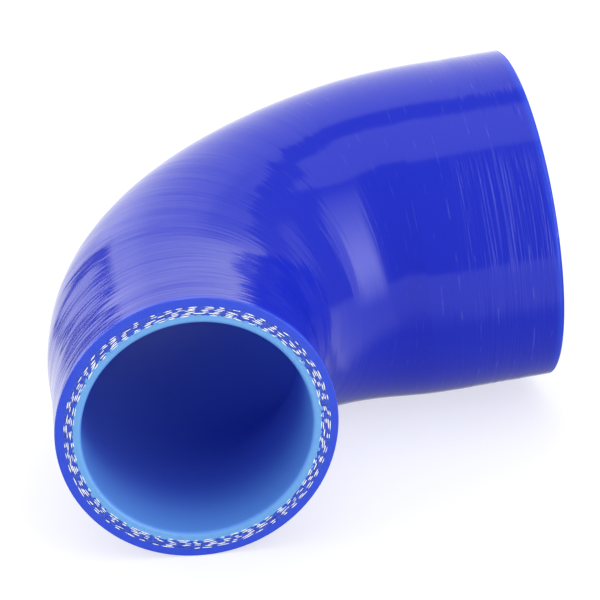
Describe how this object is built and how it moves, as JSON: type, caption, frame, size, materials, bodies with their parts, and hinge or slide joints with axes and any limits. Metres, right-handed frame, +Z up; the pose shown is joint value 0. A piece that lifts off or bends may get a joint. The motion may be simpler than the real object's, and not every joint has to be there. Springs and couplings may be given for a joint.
{
  "type": "silicone elbow hose",
  "caption": "Right-angle reducer elbow of blue fabric-reinforced silicone hose: a thick-walled bend with a straight cuff at each end, joining a narrower pipe to a wider one.",
  "frame": {"origin": "centre of the bounding box at the surface the hose lies on", "axes": "+Z up from the surface; the narrow end faces -Y and the wide end faces +X, both a few degrees off level because the hose lies on its own taper"},
  "size_m": [0.1324, 0.1394, 0.0906],
  "materials": {
    "cover": "glossy royal blue silicone with the fine hoop ridges that the cure wrapping leaves",
    "plies": "three rows of white thread ends in blue silicone, seen on the cut ends",
    "liner": "satin light blue silicone"
  },
  "bodies": {
    "root": {"elbow_hose": "cover"}
  },
  "joints": []
}
